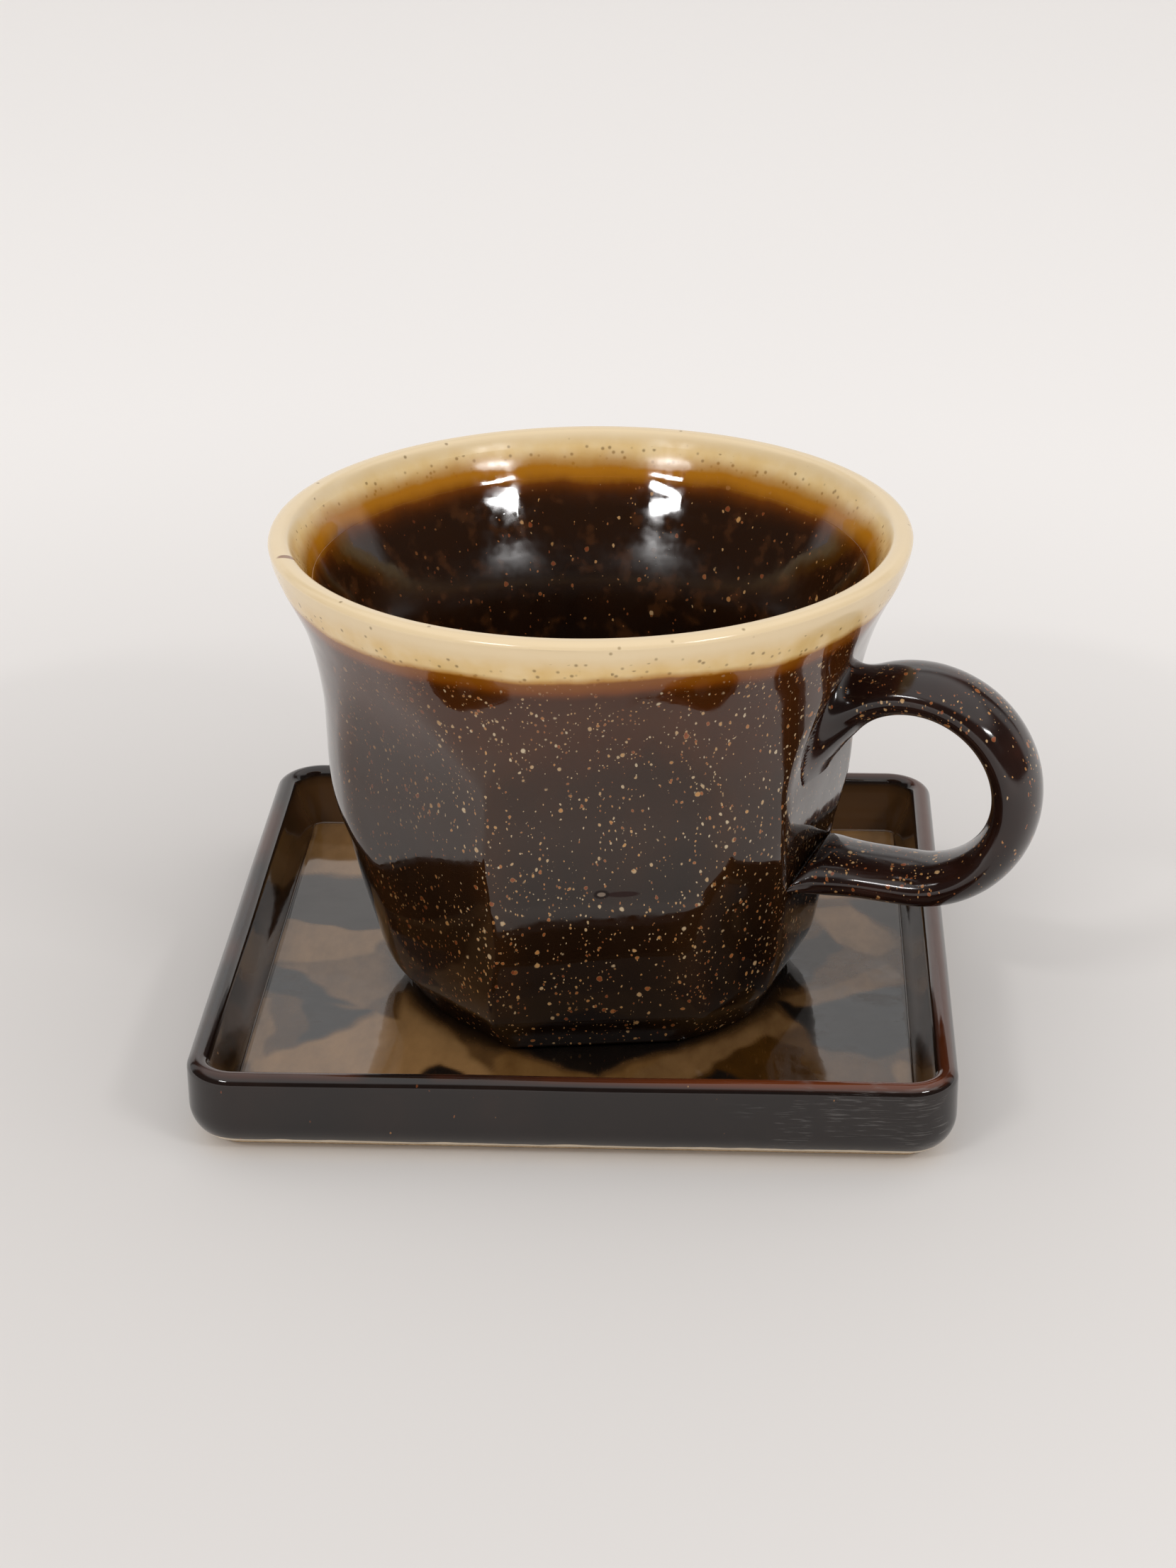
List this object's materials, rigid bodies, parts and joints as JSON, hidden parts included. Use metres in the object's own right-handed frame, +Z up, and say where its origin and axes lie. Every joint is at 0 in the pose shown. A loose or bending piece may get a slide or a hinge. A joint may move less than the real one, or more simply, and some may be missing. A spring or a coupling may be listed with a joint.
{
  "type": "cup with saucer",
  "caption": "Faceted stoneware cup with a flared cream lip and a ring handle, on a square tray saucer with a patterned floor.",
  "frame": {"origin": "middle of the saucer's flat underside", "axes": "+Z up, -Y to the front, +X to the right; the saucer's sides run along X and Y"},
  "size_m": [0.1338, 0.12, 0.0837],
  "materials": {
    "speckled_glaze": "gloss dark brown glaze with fine gold and copper specks",
    "cream_glaze": "gloss cream glaze with a few dark specks, breaking to amber",
    "dark_glaze": "gloss dark brown glaze, red-brown where it thins on edges",
    "patterned_glaze": "gloss glaze with a patchwork of tan, olive and dark brown triangles",
    "bare_clay": "matt unglazed stoneware"
  },
  "bodies": {
    "saucer": {"saucer_tray": "dark_glaze", "saucer_floor_glaze": "patterned_glaze", "saucer_base": "bare_clay"},
    "cup": {"cup_body": "speckled_glaze", "cup_lip": "cream_glaze", "cup_foot_ring": "bare_clay", "cup_handle": "speckled_glaze"}
  },
  "joints": [
    {"name": "cup_lift", "type": "slide", "parent": "saucer", "child": "cup", "axis": [0, 0, 1], "range_m": [0, 0.12]}
  ]
}
